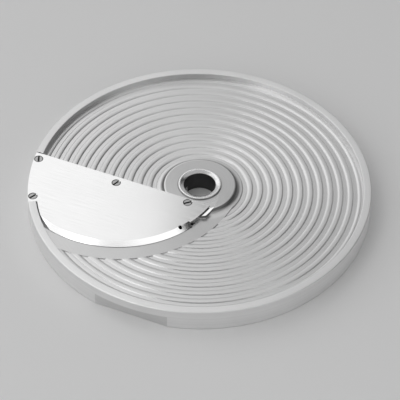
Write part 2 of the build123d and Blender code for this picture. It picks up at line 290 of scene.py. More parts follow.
# %% Rows of the top, from the hub to the rim
QUARTER = np.radians(np.linspace(0, 90, 7))
SAME_PLACE = 0.01
boss_radii = np.append(SEAT_START, BOSS_RADIUS - BOSS_ROUND * np.linspace(1, 0, 6))
BAND_ENDS = [HUB_HOLE, SEAT_START, BOSS_RADIUS, TAIL_RADIUS, LAND_END, PAD_INNER, RIM_INNER]


def band_radii(inner, outer):
    """Radii of one band: both ends and every feature of the profile between them."""
    between = np.concatenate([boss_radii, cove_radii, ridge_radii])
    between = between[(between > inner + SAME_PLACE) & (between < outer - SAME_PLACE)]
    return np.unique(np.concatenate([[inner], between, [outer]]))


bands = [band_radii(a, b) for a, b in zip(BAND_ENDS[:-1], BAND_ENDS[1:])]
top_radius = np.concatenate(bands)
top_band = np.repeat(np.arange(len(bands)), [len(b) for b in bands])


def boss_height(radius):
    """Top of the hub's boss: level, then falling with the square of the distance down to the cove."""
    fall = BOSS_TOP - ridge_height(BOSS_RADIUS)
    return BOSS_TOP - fall * np.clip((radius - BOSS_RADIUS) / BOSS_ROUND + 1, 0, 1) ** 2


plate = np.where(top_band < 2, boss_height(top_radius), ridge_height(top_radius))
smooth = np.where(top_radius > COVE_END, PLATE_TOP, plate)
top_height = {
    "land": np.where(top_band == 0, BOSS_TOP, SEAT),
    "throat_near": np.array([BOSS_TOP, SEAT, SEAT, PLATE_TOP, PLATE_FOOT, SEAT])[top_band],
    "throat_far": np.array([BOSS_TOP, SEAT, SEAT, PLATE_TOP, PLATE_FOOT, PLATE_FOOT])[top_band],
    "lip": np.where(top_band < 3, BOSS_TOP, PLATE_TOP),
    "pocket": np.where(top_band < 2, plate, smooth),
    "plate": plate,
    "rib": plate,
}
print("rows on top", len(top_radius))

# %% [markdown]
# Then the rim: an eased inner corner, a level top, a rounded outer edge and the outer wall. On the
# side of the throat the lower wall is cut flat, so its rows end on a plane instead of the circle.
# Where the blade's tab crosses the rim, the rim is cut down to the seat.

# %% Rows of the rim
ease = RIM_INNER_EASE * np.array([[0, -1], [0.3, -0.3], [1, 0]])
rim_round = np.column_stack([np.sin(QUARTER), np.cos(QUARTER)]) * RIM_ROUND
rim_round += [RIM_OUTER - RIM_ROUND, RIM_TOP - RIM_ROUND]
wall = [(RIM_OUTER, FLAT_HEIGHT), (RIM_OUTER, FLAT_HEIGHT), (RIM_OUTER, FOOT_EASE)]
wall += [(RIM_OUTER - 0.3 * FOOT_EASE, 0.3 * FOOT_EASE), (RIM_OUTER - FOOT_EASE, 0.0), (RIM_INNER, 0.0)]
rim_rows = np.concatenate([np.array([RIM_INNER, RIM_TOP]) + ease, rim_round, np.array(wall)])
below_flat = np.arange(len(rim_rows)) > len(ease) + len(rim_round)
below_flat[-1] = False
print("rows on the rim", len(rim_rows))

# %% [markdown]
# The underside is a guess, since the photograph doesn't show it: a level plate with five ribs and
# cast rounds at the hub and the rim. Its rows repeat the radii of the top, so that the walls of the
# throat meet both surfaces at the same points and the mesh closes.

# %% Rows of the underside, from the rim to the hub
under_radius = np.unique(top_radius[top_band >= 2])[::-1]


def cast_round(distance):
    """Drop of a quarter round in a corner: its radius less the height of the circle at this distance."""
    past = np.clip(CAST_ROUND - distance, 0, CAST_ROUND)
    return CAST_ROUND - np.sqrt(CAST_ROUND**2 - past**2)


corner_drop = np.maximum(cast_round(under_radius - BOSS_RADIUS), cast_round(RIM_INNER - under_radius))
under_plain = PLATE_FOOT - corner_drop
under_height = {zone: under_plain for zone in top_height}
under_height["rib"] = np.minimum(under_plain, PLATE_FOOT - RIB_DEPTH)
open_far = under_radius > LAND_END - SAME_PLACE
open_near = open_far & (under_radius < PAD_INNER + SAME_PLACE)
under_height["throat_near"] = np.where(open_near, PLATE_FOOT, under_plain)
under_height["throat_far"] = np.where(open_far, PLATE_FOOT, under_plain)
hub_rows = np.array([(BOSS_RADIUS, 0.0), (HUB_HOLE, 0.0)])
print("rows underneath", len(under_radius))

# %% [markdown]
# Now the grid is put together. Every row has one radius, and every column takes its heights from the
# zone that it lies in. Where the wall is cut flat, the radius ends at the plane.

# %% Points of the casting
row_radius = np.concatenate([top_radius, rim_rows[:, 0], under_radius, hub_rows[:, 0]])
angle = column_angles(row_radius)


def zone_heights(zone):
    """Heights of all rows in one zone, with the rim cut down to the seat under the blade's tab."""
    cut = zone in ("land", "throat_near")
    rim = np.minimum(rim_rows[:, 1], SEAT) if cut else rim_rows[:, 1]
    return np.concatenate([top_height[zone], rim, under_height[zone], hub_rows[:, 1]])


height_of = {zone: zone_heights(zone) for zone in top_height}
height = np.stack([height_of[zone] for zone in column_zone], axis=1)
flat_rows = np.zeros(len(row_radius), bool)
flat_rows[len(top_radius):len(top_radius) + len(rim_rows)] = below_flat
to_plane = FLAT_PLANE / np.maximum(np.sin(angle), 0.5)
setback = RIM_OUTER - row_radius[:, None]
radius = np.repeat(row_radius[:, None], len(column_zone), axis=1)
radius = np.where(flat_rows[:, None], np.minimum(radius, to_plane - setback), radius)
grid = np.stack([radius * np.cos(angle), radius * np.sin(angle), height], axis=-1)
print("points of the casting", grid[..., 0].size)

# %% [markdown]
# Two small forms are offsets in height that fade out at their ends. At the blade's narrow end the lip leans
# towards the throat, and the finish paints a highlight on it there. The pocket climbs a little on its way to
# the cutting edge, so that the edge lies close above it. The mesh keeps where both are, for the finish.

# %% Tilted lip with a painted highlight, and climbing pocket
tail_band, throat_band = BAND_ENDS.index(TAIL_RADIUS), BAND_ENDS.index(LAND_END)
row_band = np.append(top_band, np.full(len(row_radius) - len(top_radius), len(bands)))
at_tail = row_band < tail_band
past_tail = (row_band >= tail_band) & (row_band < len(bands))
from_edge = np.hypot(grid[..., 0] - EDGE_X, grid[..., 1] - EDGE_Y)
before_lip = np.clip(LIP_RADIUS - from_edge, 0, LIP_WIDTH)
along_lip = np.clip((row_radius - LIP_START) / LIP_FADE, 0, 1) * at_tail
burnished = along_lip[:, None] * (column_zone == "lip")
grid[..., 2] -= LIP_TILT * before_lip * burnished
climb = np.clip((POCKET_RADIUS - from_edge) / POCKET_WIDTH, 0, 1)
fade_in = np.clip((row_radius - TAIL_RADIUS) / CLIMB_FADE, 0, 1) * past_tail
smooth_zone = np.isin(column_zone, ["lip", "pocket"])
grid[..., 2] += POCKET_CLIMB * climb * fade_in[:, None] * smooth_zone
milled = (past_tail & (row_radius > TAIL_RADIUS))[:, None] & smooth_zone
print("burnished points", int((burnished > 0).sum()), "milled points", int(milled.sum()))

# %% [markdown]
# The faces over the throat are left out on both surfaces, and merging the points that fall together
# closes the walls. A face goes where all four of its corners lie in the opening.

# %% The casting
no_rim, no_hub = np.zeros(len(rim_rows), bool), np.zeros(len(hub_rows), bool)
near_rows = np.concatenate([top_band == throat_band, no_rim, open_near, no_hub])
far_rows = np.concatenate([top_band >= throat_band, no_rim, open_far, no_hub])
window = near_rows[:, None] & (column_zone == "throat_near")
window |= far_rows[:, None] & (column_zone == "throat_far")
window &= np.roll(window, -1, 1)
no_face = window & np.roll(window, -1, 0)
faces = grid_quads(*grid.shape[:2], True, True)[~no_face]
casting = finish_piece(
    "ridged_disc", to_scene(grid), faces.tolist(), "disc_body", "cast_aluminium",
    milled=milled.ravel(), burnished=burnished.ravel(),
)

# %% [markdown]
# The bush and the screws are turned too, with a slot milled across each. A closed profile goes round
# the axis zone by zone: inside a slot the profile is cut down, and the slot's straight sides are
# angles that change with the radius, so that they stay parallel.

# %% A profile carried round an axis, with slots


def slot_half(width, radius):
    """Angle from a slot's middle to its side at each radius: the arcsine of half the width over it."""
    return np.degrees(np.arcsin(np.minimum(1.0, width / 2 / np.maximum(radius, 1e-6))))


def slotted_lathe(profile, slot_width, in_slot, slot_steps, steps, closed):
    """Points and quads of a profile, rows of radius and height, carried round with a slot across it.

    Four zones go round: slot, body, slot, body. In the slot zones in_slot changes the profile, and
    every zone's columns are even steps between the angles of its two borders.
    """
    zones = []
    for k, count in enumerate([slot_steps, steps, slot_steps, steps]):
        radius, height = in_slot(*profile.T) if k % 2 == 0 else profile.T
        half = slot_half(slot_width, radius)
        start, end = (-half, half) if k % 2 == 0 else (half, 180 - half)
        share = np.linspace(0, 1, count + 1)
        turn = np.radians(start[:, None] + (end - start)[:, None] * share + 180 * (k // 2))
        flat = [radius[:, None] * np.cos(turn), radius[:, None] * np.sin(turn)]
        zones.append(np.stack([*flat, np.repeat(height[:, None], count + 1, 1)], axis=-1))
    grid = np.concatenate(zones, axis=1)
    return grid.reshape(-1, 3), grid_quads(*grid.shape[:2], closed, True).reshape(-1, 4)


def arc_points(middle, radius, start, end, count):
    """Points of a circle's arc between two angles in degrees."""
    turn = np.radians(np.linspace(start, end, count))
    return np.column_stack([middle[0] + radius * np.cos(turn), middle[1] + radius * np.sin(turn)])


# %% [markdown]
# The bush is a steel sleeve pressed into the hub, with a wide lead-in that guides the shaft and a
# slot at its foot for the drive pin. Its corners get small rounds, because a turned corner is always
# broken with a file and that thin line catches the light.

# %% The bush
BORE_RADIUS, BUSH_OUTER, BUSH_TOP = 9.5, 12.8, 13.7
DRIVE_SLOT_WIDTH, DRIVE_SLOT_TOP = 6.2, 5.0
BUSH_ROUND, BORE_EASE = 0.3, 0.5
LEAD_RADIUS, LEAD_ROUND, LEAD_TURN = 11.75, 0.25, 154
lead_in = [(10.6, 13.22), (9.7, 12.80), (BORE_RADIUS + 0.05, 12.66), (BORE_RADIUS, 12.5)]
bush_profile = np.concatenate([
    [(BORE_RADIUS + BORE_EASE, 0.0)],
    arc_points((BUSH_OUTER - BUSH_ROUND, BUSH_ROUND), BUSH_ROUND, -90, 0, 3),
    [(BUSH_OUTER, DRIVE_SLOT_TOP), (BUSH_OUTER, 12.4)],
    arc_points((BUSH_OUTER - BUSH_ROUND, BUSH_TOP - BUSH_ROUND), BUSH_ROUND, 0, 90, 6),
    arc_points((LEAD_RADIUS, BUSH_TOP - LEAD_ROUND), LEAD_ROUND, 90, LEAD_TURN, 5),
    lead_in,
    [(BORE_RADIUS, DRIVE_SLOT_TOP), (BORE_RADIUS, BORE_EASE)],
])


def under_drive_slot(radius, height):
    """The bush above the drive slot: nothing of the profile lies below the slot's top."""
    return radius, np.maximum(height, DRIVE_SLOT_TOP)


bush_points, bush_quads = slotted_lathe(bush_profile, DRIVE_SLOT_WIDTH, under_drive_slot, 14, 58, True)
bush = finish_piece("shaft_bush", to_scene(bush_points), bush_quads.tolist(), "hub_bush", "bush_steel")

# %% [markdown]
# Four slotted countersunk screws hold the blade. They are one shape, turned and slotted once, and then
# placed four times. They stay one piece, as in the solids.

# %% The shape of a screw
BLADE_TOP, HEAD_TOP = 13.2, 13.1
HEAD_RADIUS, SHANK_RADIUS, SCREW_FOOT, SHANK_EASE = 2.75, 1.5, 7.5, 0.3
SCREW_SLOT_WIDTH, SCREW_SLOT_FLOOR = 1.1, 12.5
CONE_FOOT = HEAD_TOP - (HEAD_RADIUS - SHANK_RADIUS)
SLOT_REACH = HEAD_RADIUS - (HEAD_TOP - SCREW_SLOT_FLOOR)
half_slot = SCREW_SLOT_WIDTH / 2
head_edge = [HEAD_RADIUS, HEAD_TOP] - np.array([(0.15, 0.0), (0.05, 0.025), (0.03, 0.05), (0.35, 0.35)])
screw_profile = np.array([
    (0.0, SCREW_SLOT_FLOOR), (half_slot, SCREW_SLOT_FLOOR), (half_slot, HEAD_TOP), (1.2, HEAD_TOP),
    (SLOT_REACH, HEAD_TOP), *head_edge, (SLOT_REACH, SCREW_SLOT_FLOOR), (SHANK_RADIUS, CONE_FOOT),
    (SHANK_RADIUS, SCREW_FOOT + SHANK_EASE), (SHANK_RADIUS - SHANK_EASE, SCREW_FOOT), (0.0, SCREW_FOOT),
])


def under_screw_slot(radius, height):
    """The head under its slot: no higher than the slot's floor, and no wider than the cone there."""
    return np.minimum(radius, SLOT_REACH), np.minimum(height, SCREW_SLOT_FLOOR)


screw_points, screw_quads = slotted_lathe(screw_profile, SCREW_SLOT_WIDTH, under_screw_slot, 6, 22, False)
print("points of one screw", len(screw_points))

# %% [markdown]
# Three screws stand at one distance from the edges of the sheet: two on the rim and one behind the
# throat. The fourth holds the narrow end on the hub. Each is turned as the photograph shows its slot.

# %% Places of the screws
SCREW_EDGE_INSET, SCREW_RIM_INSET = 4.75, 3.2
MIDDLE_SCREW_X, HUB_SCREW_X, HUB_SCREW_INSET = 46.1, 0.55, 3.0
SCREW_TURNS = np.radians([-68.0, -116.0, -113.0, -138.0])
screw_line = BACK_EDGE + SCREW_EDGE_INSET
screw_ring = RIM_OUTER - SCREW_RIM_INSET
front_turn = np.radians(TAB_END) - SCREW_EDGE_INSET / screw_ring
SCREW_PLACES = np.array([
    (np.sqrt(screw_ring**2 - screw_line**2), screw_line),
    (screw_ring * np.cos(front_turn), screw_ring * np.sin(front_turn)),
    (MIDDLE_SCREW_X, screw_line),
    (HUB_SCREW_X, BACK_EDGE + HUB_SCREW_INSET),
])
SCREWS = len(SCREW_PLACES)
c, s = np.cos(SCREW_TURNS), np.sin(SCREW_TURNS)
zero, one = np.zeros(SCREWS), np.ones(SCREWS)
turns = np.stack([c, s, zero, -s, c, zero, zero, zero, one], axis=-1).reshape(-1, 3, 3)
placed = screw_points[None] @ turns + np.column_stack([SCREW_PLACES, zero])[:, None, :]
numbers = screw_quads[None] + len(screw_points) * np.arange(SCREWS)[:, None, None]
screw_faces = numbers.reshape(-1, 4).tolist()
own_radius = np.tile(np.linalg.norm(screw_points[:, :2], axis=1) * MM, SCREWS)
screws = finish_piece(
    "slotted_screws", to_scene(placed), screw_faces, "blade_screws", "screw_steel", own_radius=own_radius
)

# %% [markdown]
# The blade is a crescent of stainless sheet: a straight back, a round ground edge, a tab that lies on
# the rim and a narrow end on the hub. Its flat faces have holes, which a grid can't follow, so those
# two are filled between their outlines by a Delaunay triangulation. Everything else is strips.

# %% Circles and angles of the blade
BEVEL_WIDTH, EDGE_LAND = 3.1, 0.06
BEVEL_INNER = EDGE_RADIUS - BEVEL_WIDTH
BEVEL_DROP = (BLADE_TOP - SEAT - EDGE_LAND) / BEVEL_WIDTH
BLADE_INSET, HUB_END_INSET, HUB_END_LENGTH = 0.4, 2.0, 19.0
BLADE_RIM = RIM_OUTER - BLADE_INSET
HUB_END_RADIUS = EDGE_RADIUS - HUB_END_INSET
EDGE_MIDDLE = np.array([EDGE_X, EDGE_Y])
tip_turn = np.degrees(np.arctan2(BACK_EDGE - EDGE_Y, -TIP_REACH - EDGE_X))
BEVEL_END = tip_turn - np.degrees(HUB_END_LENGTH / EDGE_RADIUS)
HUB_TIP = 180 - np.degrees(np.arcsin((BACK_EDGE - EDGE_Y) / HUB_END_RADIUS))
PIN_RADIUS, PIN_INSET, PIN_SETBACK = 1.1, 2.6, 7.1
PIN_REACH = EDGE_RADIUS - PIN_INSET
PIN_TURN = BEVEL_END - np.degrees(PIN_SETBACK / EDGE_RADIUS)


def from_edge_middle(reach, turn):
    """Points at a distance and an angle in degrees from the cutting edge's centre."""
    return EDGE_MIDDLE + np.stack([reach * np.cos(np.radians(turn)), reach * np.sin(np.radians(turn))], -1)


def upper_height(plan):
    """Height of the blade's upper side: level, then falling with the distance past the bevel's start."""
    past = np.linalg.norm(plan - EDGE_MIDDLE, axis=-1) - BEVEL_INNER
    return BLADE_TOP - BEVEL_DROP * np.maximum(0, past)


# %% [markdown]
# A small plain hole, which held the sheet while it was ground, lies across the start of the bevel. The
# two points where its circle crosses that line belong to the hole and to the line, so that the flat
# face, the bevel and the wall of the hole share their corners.

# %% Lines of the blade
cosine = (PIN_REACH**2 + BEVEL_INNER**2 - PIN_RADIUS**2) / (2 * PIN_REACH * BEVEL_INNER)
crossings = PIN_TURN + np.degrees(np.arccos(cosine)) * np.array([-1, 1])
bevel_reach = np.append(BEVEL_INNER, np.linspace(HUB_END_RADIUS, EDGE_RADIUS, 4))
side_angle = np.radians(edge_angle(BLADE_SIDE, bevel_reach))
bevel_side = BLADE_SIDE * np.column_stack([np.cos(side_angle), np.sin(side_angle)])
side_turn = np.degrees(np.arctan2(*(bevel_side - EDGE_MIDDLE).T[::-1]))
along = np.sort(np.append(np.linspace(0, 1, 120), (crossings - side_turn[0]) / (BEVEL_END - side_turn[0])))
bevel_start, bevel_edge = [
    from_edge_middle(bevel_reach[k], side_turn[k] + (BEVEL_END - side_turn[k]) * along) for k in (0, -1)
]
bevel_end = from_edge_middle(bevel_reach, BEVEL_END)
back_turn = np.degrees(np.arcsin(BACK_EDGE / BLADE_RIM))
back_ends = [from_edge_middle(HUB_END_RADIUS, HUB_TIP)[0], BLADE_RIM * np.cos(np.radians(back_turn))]
back = np.column_stack([np.linspace(*back_ends, 40), np.full(40, BACK_EDGE)])
rim_arc = arc_points((0, 0), BLADE_RIM, back_turn, TAB_END, 30)
side_arc = arc_points((0, 0), BLADE_SIDE, TAB_END, edge_angle(BLADE_SIDE, BEVEL_INNER), 14)
hub_arc = arc_points(EDGE_MIDDLE, HUB_END_RADIUS, BEVEL_END, HUB_TIP, 20)
plain_sides = np.concatenate([hub_arc, back[1:], rim_arc[1:], side_arc])
top_outline = np.concatenate([plain_sides, bevel_start[1:]])
foot_outline = np.concatenate([plain_sides, bevel_side[1:], bevel_edge[1:], bevel_end[-2:1:-1]])
bevel_outline = np.concatenate([bevel_start, bevel_end[1:], bevel_edge[-2::-1], bevel_side[-2:0:-1]])
print("points round the blade", len(foot_outline))

# %% [markdown]
# Each screw has a countersunk hole: a short turned wall from the upper face down to the seat.

# %% Holes of the blade
SINK_CLEARANCE, HOLE_STEPS = 0.03, 48
SAME_POINT, HOLE_SLACK = 1e-5, 1.0005
sink_head, sink_shank = HEAD_RADIUS + SINK_CLEARANCE, SHANK_RADIUS + SINK_CLEARANCE
SINK = np.array([
    (sink_head, BLADE_TOP), (sink_head, HEAD_TOP), (sink_shank, CONE_FOOT), (sink_shank, SEAT),
])
around = np.linspace(0, 2 * np.pi, HOLE_STEPS, endpoint=False)
spokes = np.column_stack([np.cos(around), np.sin(around)])
sink_plan = SCREW_PLACES[:, None, None, :] + SINK[:, None, :1] * spokes
sink_height = np.broadcast_to(SINK[:, None, 1:], (SCREWS, len(SINK), HOLE_STEPS, 1))
sink_walls = np.concatenate([sink_plan, sink_height], axis=-1)
pin_place = from_edge_middle(PIN_REACH, PIN_TURN)
to_crossing = from_edge_middle(BEVEL_INNER, crossings) - pin_place
pin_around = np.sort(np.append(around, np.arctan2(to_crossing[:, 1], to_crossing[:, 0]) % (2 * np.pi)))
pin_plan = pin_place + PIN_RADIUS * np.column_stack([np.cos(pin_around), np.sin(pin_around)])


def filled(outline, holes, places, height):
    """Points and triangles of a face between an outline and round holes, at a height for each point.

    The triangulation fills every loop, so triangles with all corners on or in a hole are left out.
    """
    loops = [outline, *holes]
    sizes = [len(loop) for loop in loops]
    ends = np.cumsum(sizes)
    following = np.arange(ends[-1]) + 1
    following[ends - 1] = ends - sizes
    links = np.column_stack([np.arange(ends[-1]), following]).tolist()
    made = delaunay_2d_cdt([Vector(point) for point in np.concatenate(loops)], links, [], 1, SAME_POINT)
    points, triangles = np.array(made[0]), np.array(made[2])
    reach = np.array([np.linalg.norm(hole[0] - place) for hole, place in zip(holes, places)])
    apart = np.linalg.norm(points[triangles][:, :, None] - np.array(places), axis=-1).max(axis=1)
    return np.column_stack([points, height(points)]), triangles[(apart > reach * HOLE_SLACK).all(axis=1)]


print("holes of the blade", SCREWS + 1)

# %% [markdown]
# The blade is put together from flat faces, strips and the walls of its holes. All of them end in the
# same points, so merging the points closes the blade.

# %% The blade


def strip(*lines):
    """Points and quads between lines of points that follow each other."""
    grid = np.stack(lines)
    return grid.reshape(-1, 3), grid_quads(*grid.shape[:2], False, False).reshape(-1, 4)


def lifted(plan, height):
    """Plan points at a height, one for all or one for each."""
    return np.column_stack([plan, np.broadcast_to(height, len(plan))])


def level(height):
    """A face at one height."""
    return lambda points: np.full(len(points), height)


bevel_height = upper_height(bevel_end)
step_height = bevel_height[1]
side_middle = np.linspace(step_height, SEAT, len(bevel_side))
all_places = [*SCREW_PLACES, pin_place]
pin_wall = np.stack([lifted(pin_plan, upper_height(pin_plan)), lifted(pin_plan, SEAT)])
parts = [
    filled(top_outline, [*sink_plan[:, 0], pin_plan], all_places, level(BLADE_TOP)),
    filled(foot_outline, [*sink_plan[:, -1], pin_plan], all_places, level(SEAT)),
    filled(bevel_outline, [pin_plan], [pin_place], upper_height),
    strip(*[lifted(plain_sides, height) for height in (BLADE_TOP, step_height, SEAT)]),
    strip(*[lifted(bevel_side, height) for height in (bevel_height, side_middle, SEAT)]),
    strip(lifted(bevel_edge, SEAT + EDGE_LAND), lifted(bevel_edge, SEAT)),
    strip(lifted(bevel_end[:2], BLADE_TOP), lifted(bevel_end[:2], bevel_height[:2])),
    strip(lifted(bevel_end[1:], bevel_height[1:]), lifted(bevel_end[1:], SEAT)),
]
walls = [*sink_walls, pin_wall]
parts += [(wall.reshape(-1, 3), grid_quads(*wall.shape[:2], False, True).reshape(-1, 4)) for wall in walls]
starts = np.cumsum([0] + [len(points) for points, faces in parts])
blade_points = np.concatenate([points for points, faces in parts])
blade_faces = [face for (points, faces), start in zip(parts, starts) for face in (faces + start).tolist()]
blade = finish_piece("crescent_blade", to_scene(blade_points), blade_faces, "slicing_blade", "blade_steel")

# %% [markdown]
# The finishes are next. A shader is a small graph, and short helpers keep its building readable: one
# adds any node with its values and links, one adds a calculation, one stretches a value over a new
# range, one does so for a noise, and one goes from a first value to a second.

# %% Helpers for materials
NOISE_RANGE = (0.3, 0.7)


def add_node(tree, kind, inputs=(), **settings):
    """A shader node: settings are its own fields, and inputs hold a value or a link for each socket."""
    made = tree.nodes.new("ShaderNode" + kind)
    for key, value in settings.items():
        setattr(made, key, value)
    for socket, value in dict(inputs).items():
        if isinstance(value, bpy.types.NodeSocket):
            tree.links.new(value, made.inputs[socket])
        else:
            made.inputs[socket].default_value = value
    return made


def maths(tree, operation, *values):
    """Result of one calculation with values or links."""
    return add_node(tree, "Math", dict(enumerate(values)), operation=operation).outputs[0]


def spread(tree, value, low, high, start=0.0, end=1.0):
    """A value between start and end, stretched to run from low to high and held there beyond its ends."""
    ends = {"From Min": start, "From Max": end, "To Min": low, "To Max": high}
    return add_node(tree, "MapRange", {"Value": value, **ends}).outputs["Result"]


def from_noise(tree, noise, low, high):
    """A noise, which keeps to the middle of zero and one, stretched to run from low to high."""
    return spread(tree, noise, low, high, *NOISE_RANGE)


def blend(tree, factor, first, second):
    """A value that goes from first to second with the factor."""
    return add_node(tree, "Mix", {"Factor": factor, "A": first, "B": second}).outputs["Result"]


# %% [markdown]
# Turning leaves fine rings, and every metal here has some grain and slow clouds from handling. Those
# two effects serve several finishes, so they are node groups. The rings are a noise over the radius
# and the height alone, so that each ring stays the same all the way round. A third group finds both.

# %% Groups for turned rings and for grain


def node_group(name, inputs, outputs):
    """An empty group with value sockets: its tree, the sockets it is given and the sockets it fills."""
    tree = bpy.data.node_groups.new(name, "ShaderNodeTree")
    for way, sockets in (("INPUT", inputs), ("OUTPUT", outputs)):
        for socket in sockets:
            tree.interface.new_socket(socket, in_out=way, socket_type="NodeSocketFloat")
    return tree, tree.nodes.new("NodeGroupInput").outputs, tree.nodes.new("NodeGroupOutput").inputs


turning_lines, given, result = node_group("turning_lines", ["Radius", "Height", "Spacing"], ["Lines"])
across = maths(turning_lines, "DIVIDE", given["Radius"], given["Spacing"])
down = maths(turning_lines, "DIVIDE", given["Height"], given["Spacing"])
section = add_node(turning_lines, "CombineXYZ", {"X": across, "Y": down}).outputs[0]
fine_noise = {"Scale": 1.0, "Detail": 3.0}
rings = add_node(turning_lines, "TexNoise", {"Vector": section, **fine_noise}, noise_dimensions="2D")
turning_lines.links.new(rings.outputs[0], result["Lines"])

metal_grain, given, result = node_group("metal_grain", ["Fineness"], ["Grain", "Cloud"])
spot = add_node(metal_grain, "TexCoord").outputs["Object"]
grain = add_node(metal_grain, "TexNoise", {"Vector": spot, "Scale": given["Fineness"], "Detail": 2.0})
cloud = add_node(metal_grain, "TexNoise", {"Vector": spot, "Scale": 28.0, "Detail": 3.0})
metal_grain.links.new(grain.outputs[0], result["Grain"])
metal_grain.links.new(cloud.outputs[0], result["Cloud"])

around_axis, given, result = node_group("around_axis", [], ["Radius", "Height"])
place = add_node(around_axis, "SeparateXYZ", {0: add_node(around_axis, "TexCoord").outputs["Object"]}).outputs
flat_place = add_node(around_axis, "CombineXYZ", {"X": place["X"], "Y": place["Y"]}).outputs[0]
length = add_node(around_axis, "VectorMath", {0: flat_place}, operation="LENGTH").outputs["Value"]
around_axis.links.new(length, result["Radius"])
around_axis.links.new(place["Z"], result["Height"])
print("groups:", [group.name for group in (turning_lines, metal_grain, around_axis)])


def use_group(tree, group, **inputs):
    """Outputs of a group placed in a material."""
    return add_node(tree, "Group", inputs, node_tree=group).outputs


# %% [markdown]
# A metal's colour is the share of light it gives back. Each finish below works out that grey, the
# roughness and a height for the bump, and this helper wires them to the shader.

# %% A metal finish


def metal(name, anisotropy=0.0):
    """A material with a bare metal shader: its tree and the shader's inputs."""
    material = bpy.data.materials.new(name)
    material.use_nodes = True
    shader = material.node_tree.nodes["Principled BSDF"].inputs
    shader["Metallic"].default_value = 1.0
    shader["Anisotropic"].default_value = anisotropy
    return material, material.node_tree, shader


def wire(tree, shader, grey, roughness, height, depth):
    """Links a grey, a roughness and a bump whose height of one stands for a depth in metres."""
    color = add_node(tree, "CombineColor", {"Red": grey, "Green": grey, "Blue": grey}).outputs[0]
    bump = add_node(tree, "Bump", {"Height": height, "Distance": depth, "Strength": 1.0}).outputs[0]
    for socket, value in (("Base Color", color), ("Roughness", roughness), ("Normal", bump)):
        tree.links.new(value, shader[socket])


# %% [markdown]
# The casting's aluminium is turned on top and round the rim, and rough from the mould underneath. Some places
# have a tone of their own, such as the milled pocket; others are painted light and shade: a painted highlight
# on the tilted lip, and painted shade on the flat of the wall and round the hub's foot.
# Each place is a mask, one inside and zero outside, found from the radius, the height or a value that
# the mesh carries. Lengths are in millimetres until they meet the shader.

# %% Places on the casting
TOUCH = 0.05
aluminium, tree, shader = metal("turned_aluminium", anisotropy=0.35)
axis = use_group(tree, around_axis)
spot = add_node(tree, "TexCoord").outputs["Object"]


def within(radius):
    """Mask of what lies nearer to the axis than a radius."""
    return maths(tree, "LESS_THAN", axis["Radius"], radius * MM)


def under(height):
    """Mask of what lies lower than a height."""
    return maths(tree, "LESS_THAN", axis["Height"], height * MM)


def carried(name):
    """A value that the mesh carries for each point."""
    return add_node(tree, "Attribute", attribute_name=name).outputs["Fac"]


def both(first, second):
    """Mask of what two masks share: their product."""
    return maths(tree, "MULTIPLY", first, second)


LIP_THICKNESS = 0.3
WALL_FOOT, WALL_HEAD = (PLATE_TOP + 0.1, PLATE_TOP + 0.9), (BOSS_TOP - 0.36, BOSS_TOP - 0.2)
cast_skin = both(under(PLATE_FOOT + TOUCH), within(RIM_INNER + TOUCH))
on_rim = maths(tree, "GREATER_THAN", axis["Radius"], RIM_INNER * MM)
# Painted highlight: the top of the tilted lip is made brighter.
over_lip = maths(tree, "GREATER_THAN", axis["Height"], (BOSS_TOP - LIP_THICKNESS) * MM)
lip_highlight = both(carried("burnished"), over_lip)
# Painted shade: the flat on the rim's wall is made darker, as the side that faces away from the light.
flat_way = tuple(to_scene(np.array([[0.0, 1 / MM, 0.0]]))[0])
to_flat = add_node(tree, "VectorMath", {0: spot, 1: flat_way}, operation="DOT_PRODUCT").outputs["Value"]
past_flat = maths(tree, "GREATER_THAN", to_flat, (FLAT_PLANE - TOUCH) * MM)
flat_shade = both(past_flat, under(FLAT_HEIGHT + TOUCH / 2))
# Painted shade: the wall and cove round the hub's foot are made dark, where shade falls.
over_foot = spread(tree, axis["Height"], 0.0, 1.0, *np.array(WALL_FOOT) * MM)
under_head = spread(tree, axis["Height"], 1.0, 0.0, *np.array(WALL_HEAD) * MM)
hub_foot_shade = both(within(TAIL_RADIUS + 0.5), both(over_foot, under_head))
# Boss top, rim and milled pocket are tones of the metal; the hub's foot, the lip and the flat are painted
# shade and a painted highlight.
ZONE_TONES = [
    (within(BOSS_RADIUS - BOSS_ROUND), 0.80), (on_rim, 1.13), (carried("milled"), 0.84),
    (hub_foot_shade, 0.24), (lip_highlight, 1.2), (flat_shade, 0.84),
]
print("places with a tone of their own", len(ZONE_TONES))

# %% [markdown]
# Now the finish itself. Turned rings scatter light more across them than along them, so the shader is
# anisotropic and its tangent points away from the axis. A painted shadow darkens the boss in a ring round the
# bush's foot.

# %% Cast and turned aluminium
RING_SPACING, RING_DEPTH, SKIN_RELIEF = 0.7, 0.006, 8.0
BUSH_SHADOW_START, BUSH_SHADOW_END, BUSH_SHADOW_TONE = BUSH_OUTER + 0.25, BUSH_OUTER + 0.75, 0.55
RING_TONES, CLOUD_TONES, SKIN_TONES = (-0.02, 0.02), (0.74, 0.78), (0.52, 0.62)
RING_ROUGHNESS, RIM_ROUGHER, LIP_ROUGHNESS, SKIN_ROUGHNESS = (0.29, 0.36), 0.1, 0.14, 0.6
sockets = {"Radius": axis["Radius"], "Height": axis["Height"], "Spacing": RING_SPACING * MM}
lines = use_group(tree, turning_lines, **sockets)["Lines"]
grains = use_group(tree, metal_grain, Fineness=900.0)
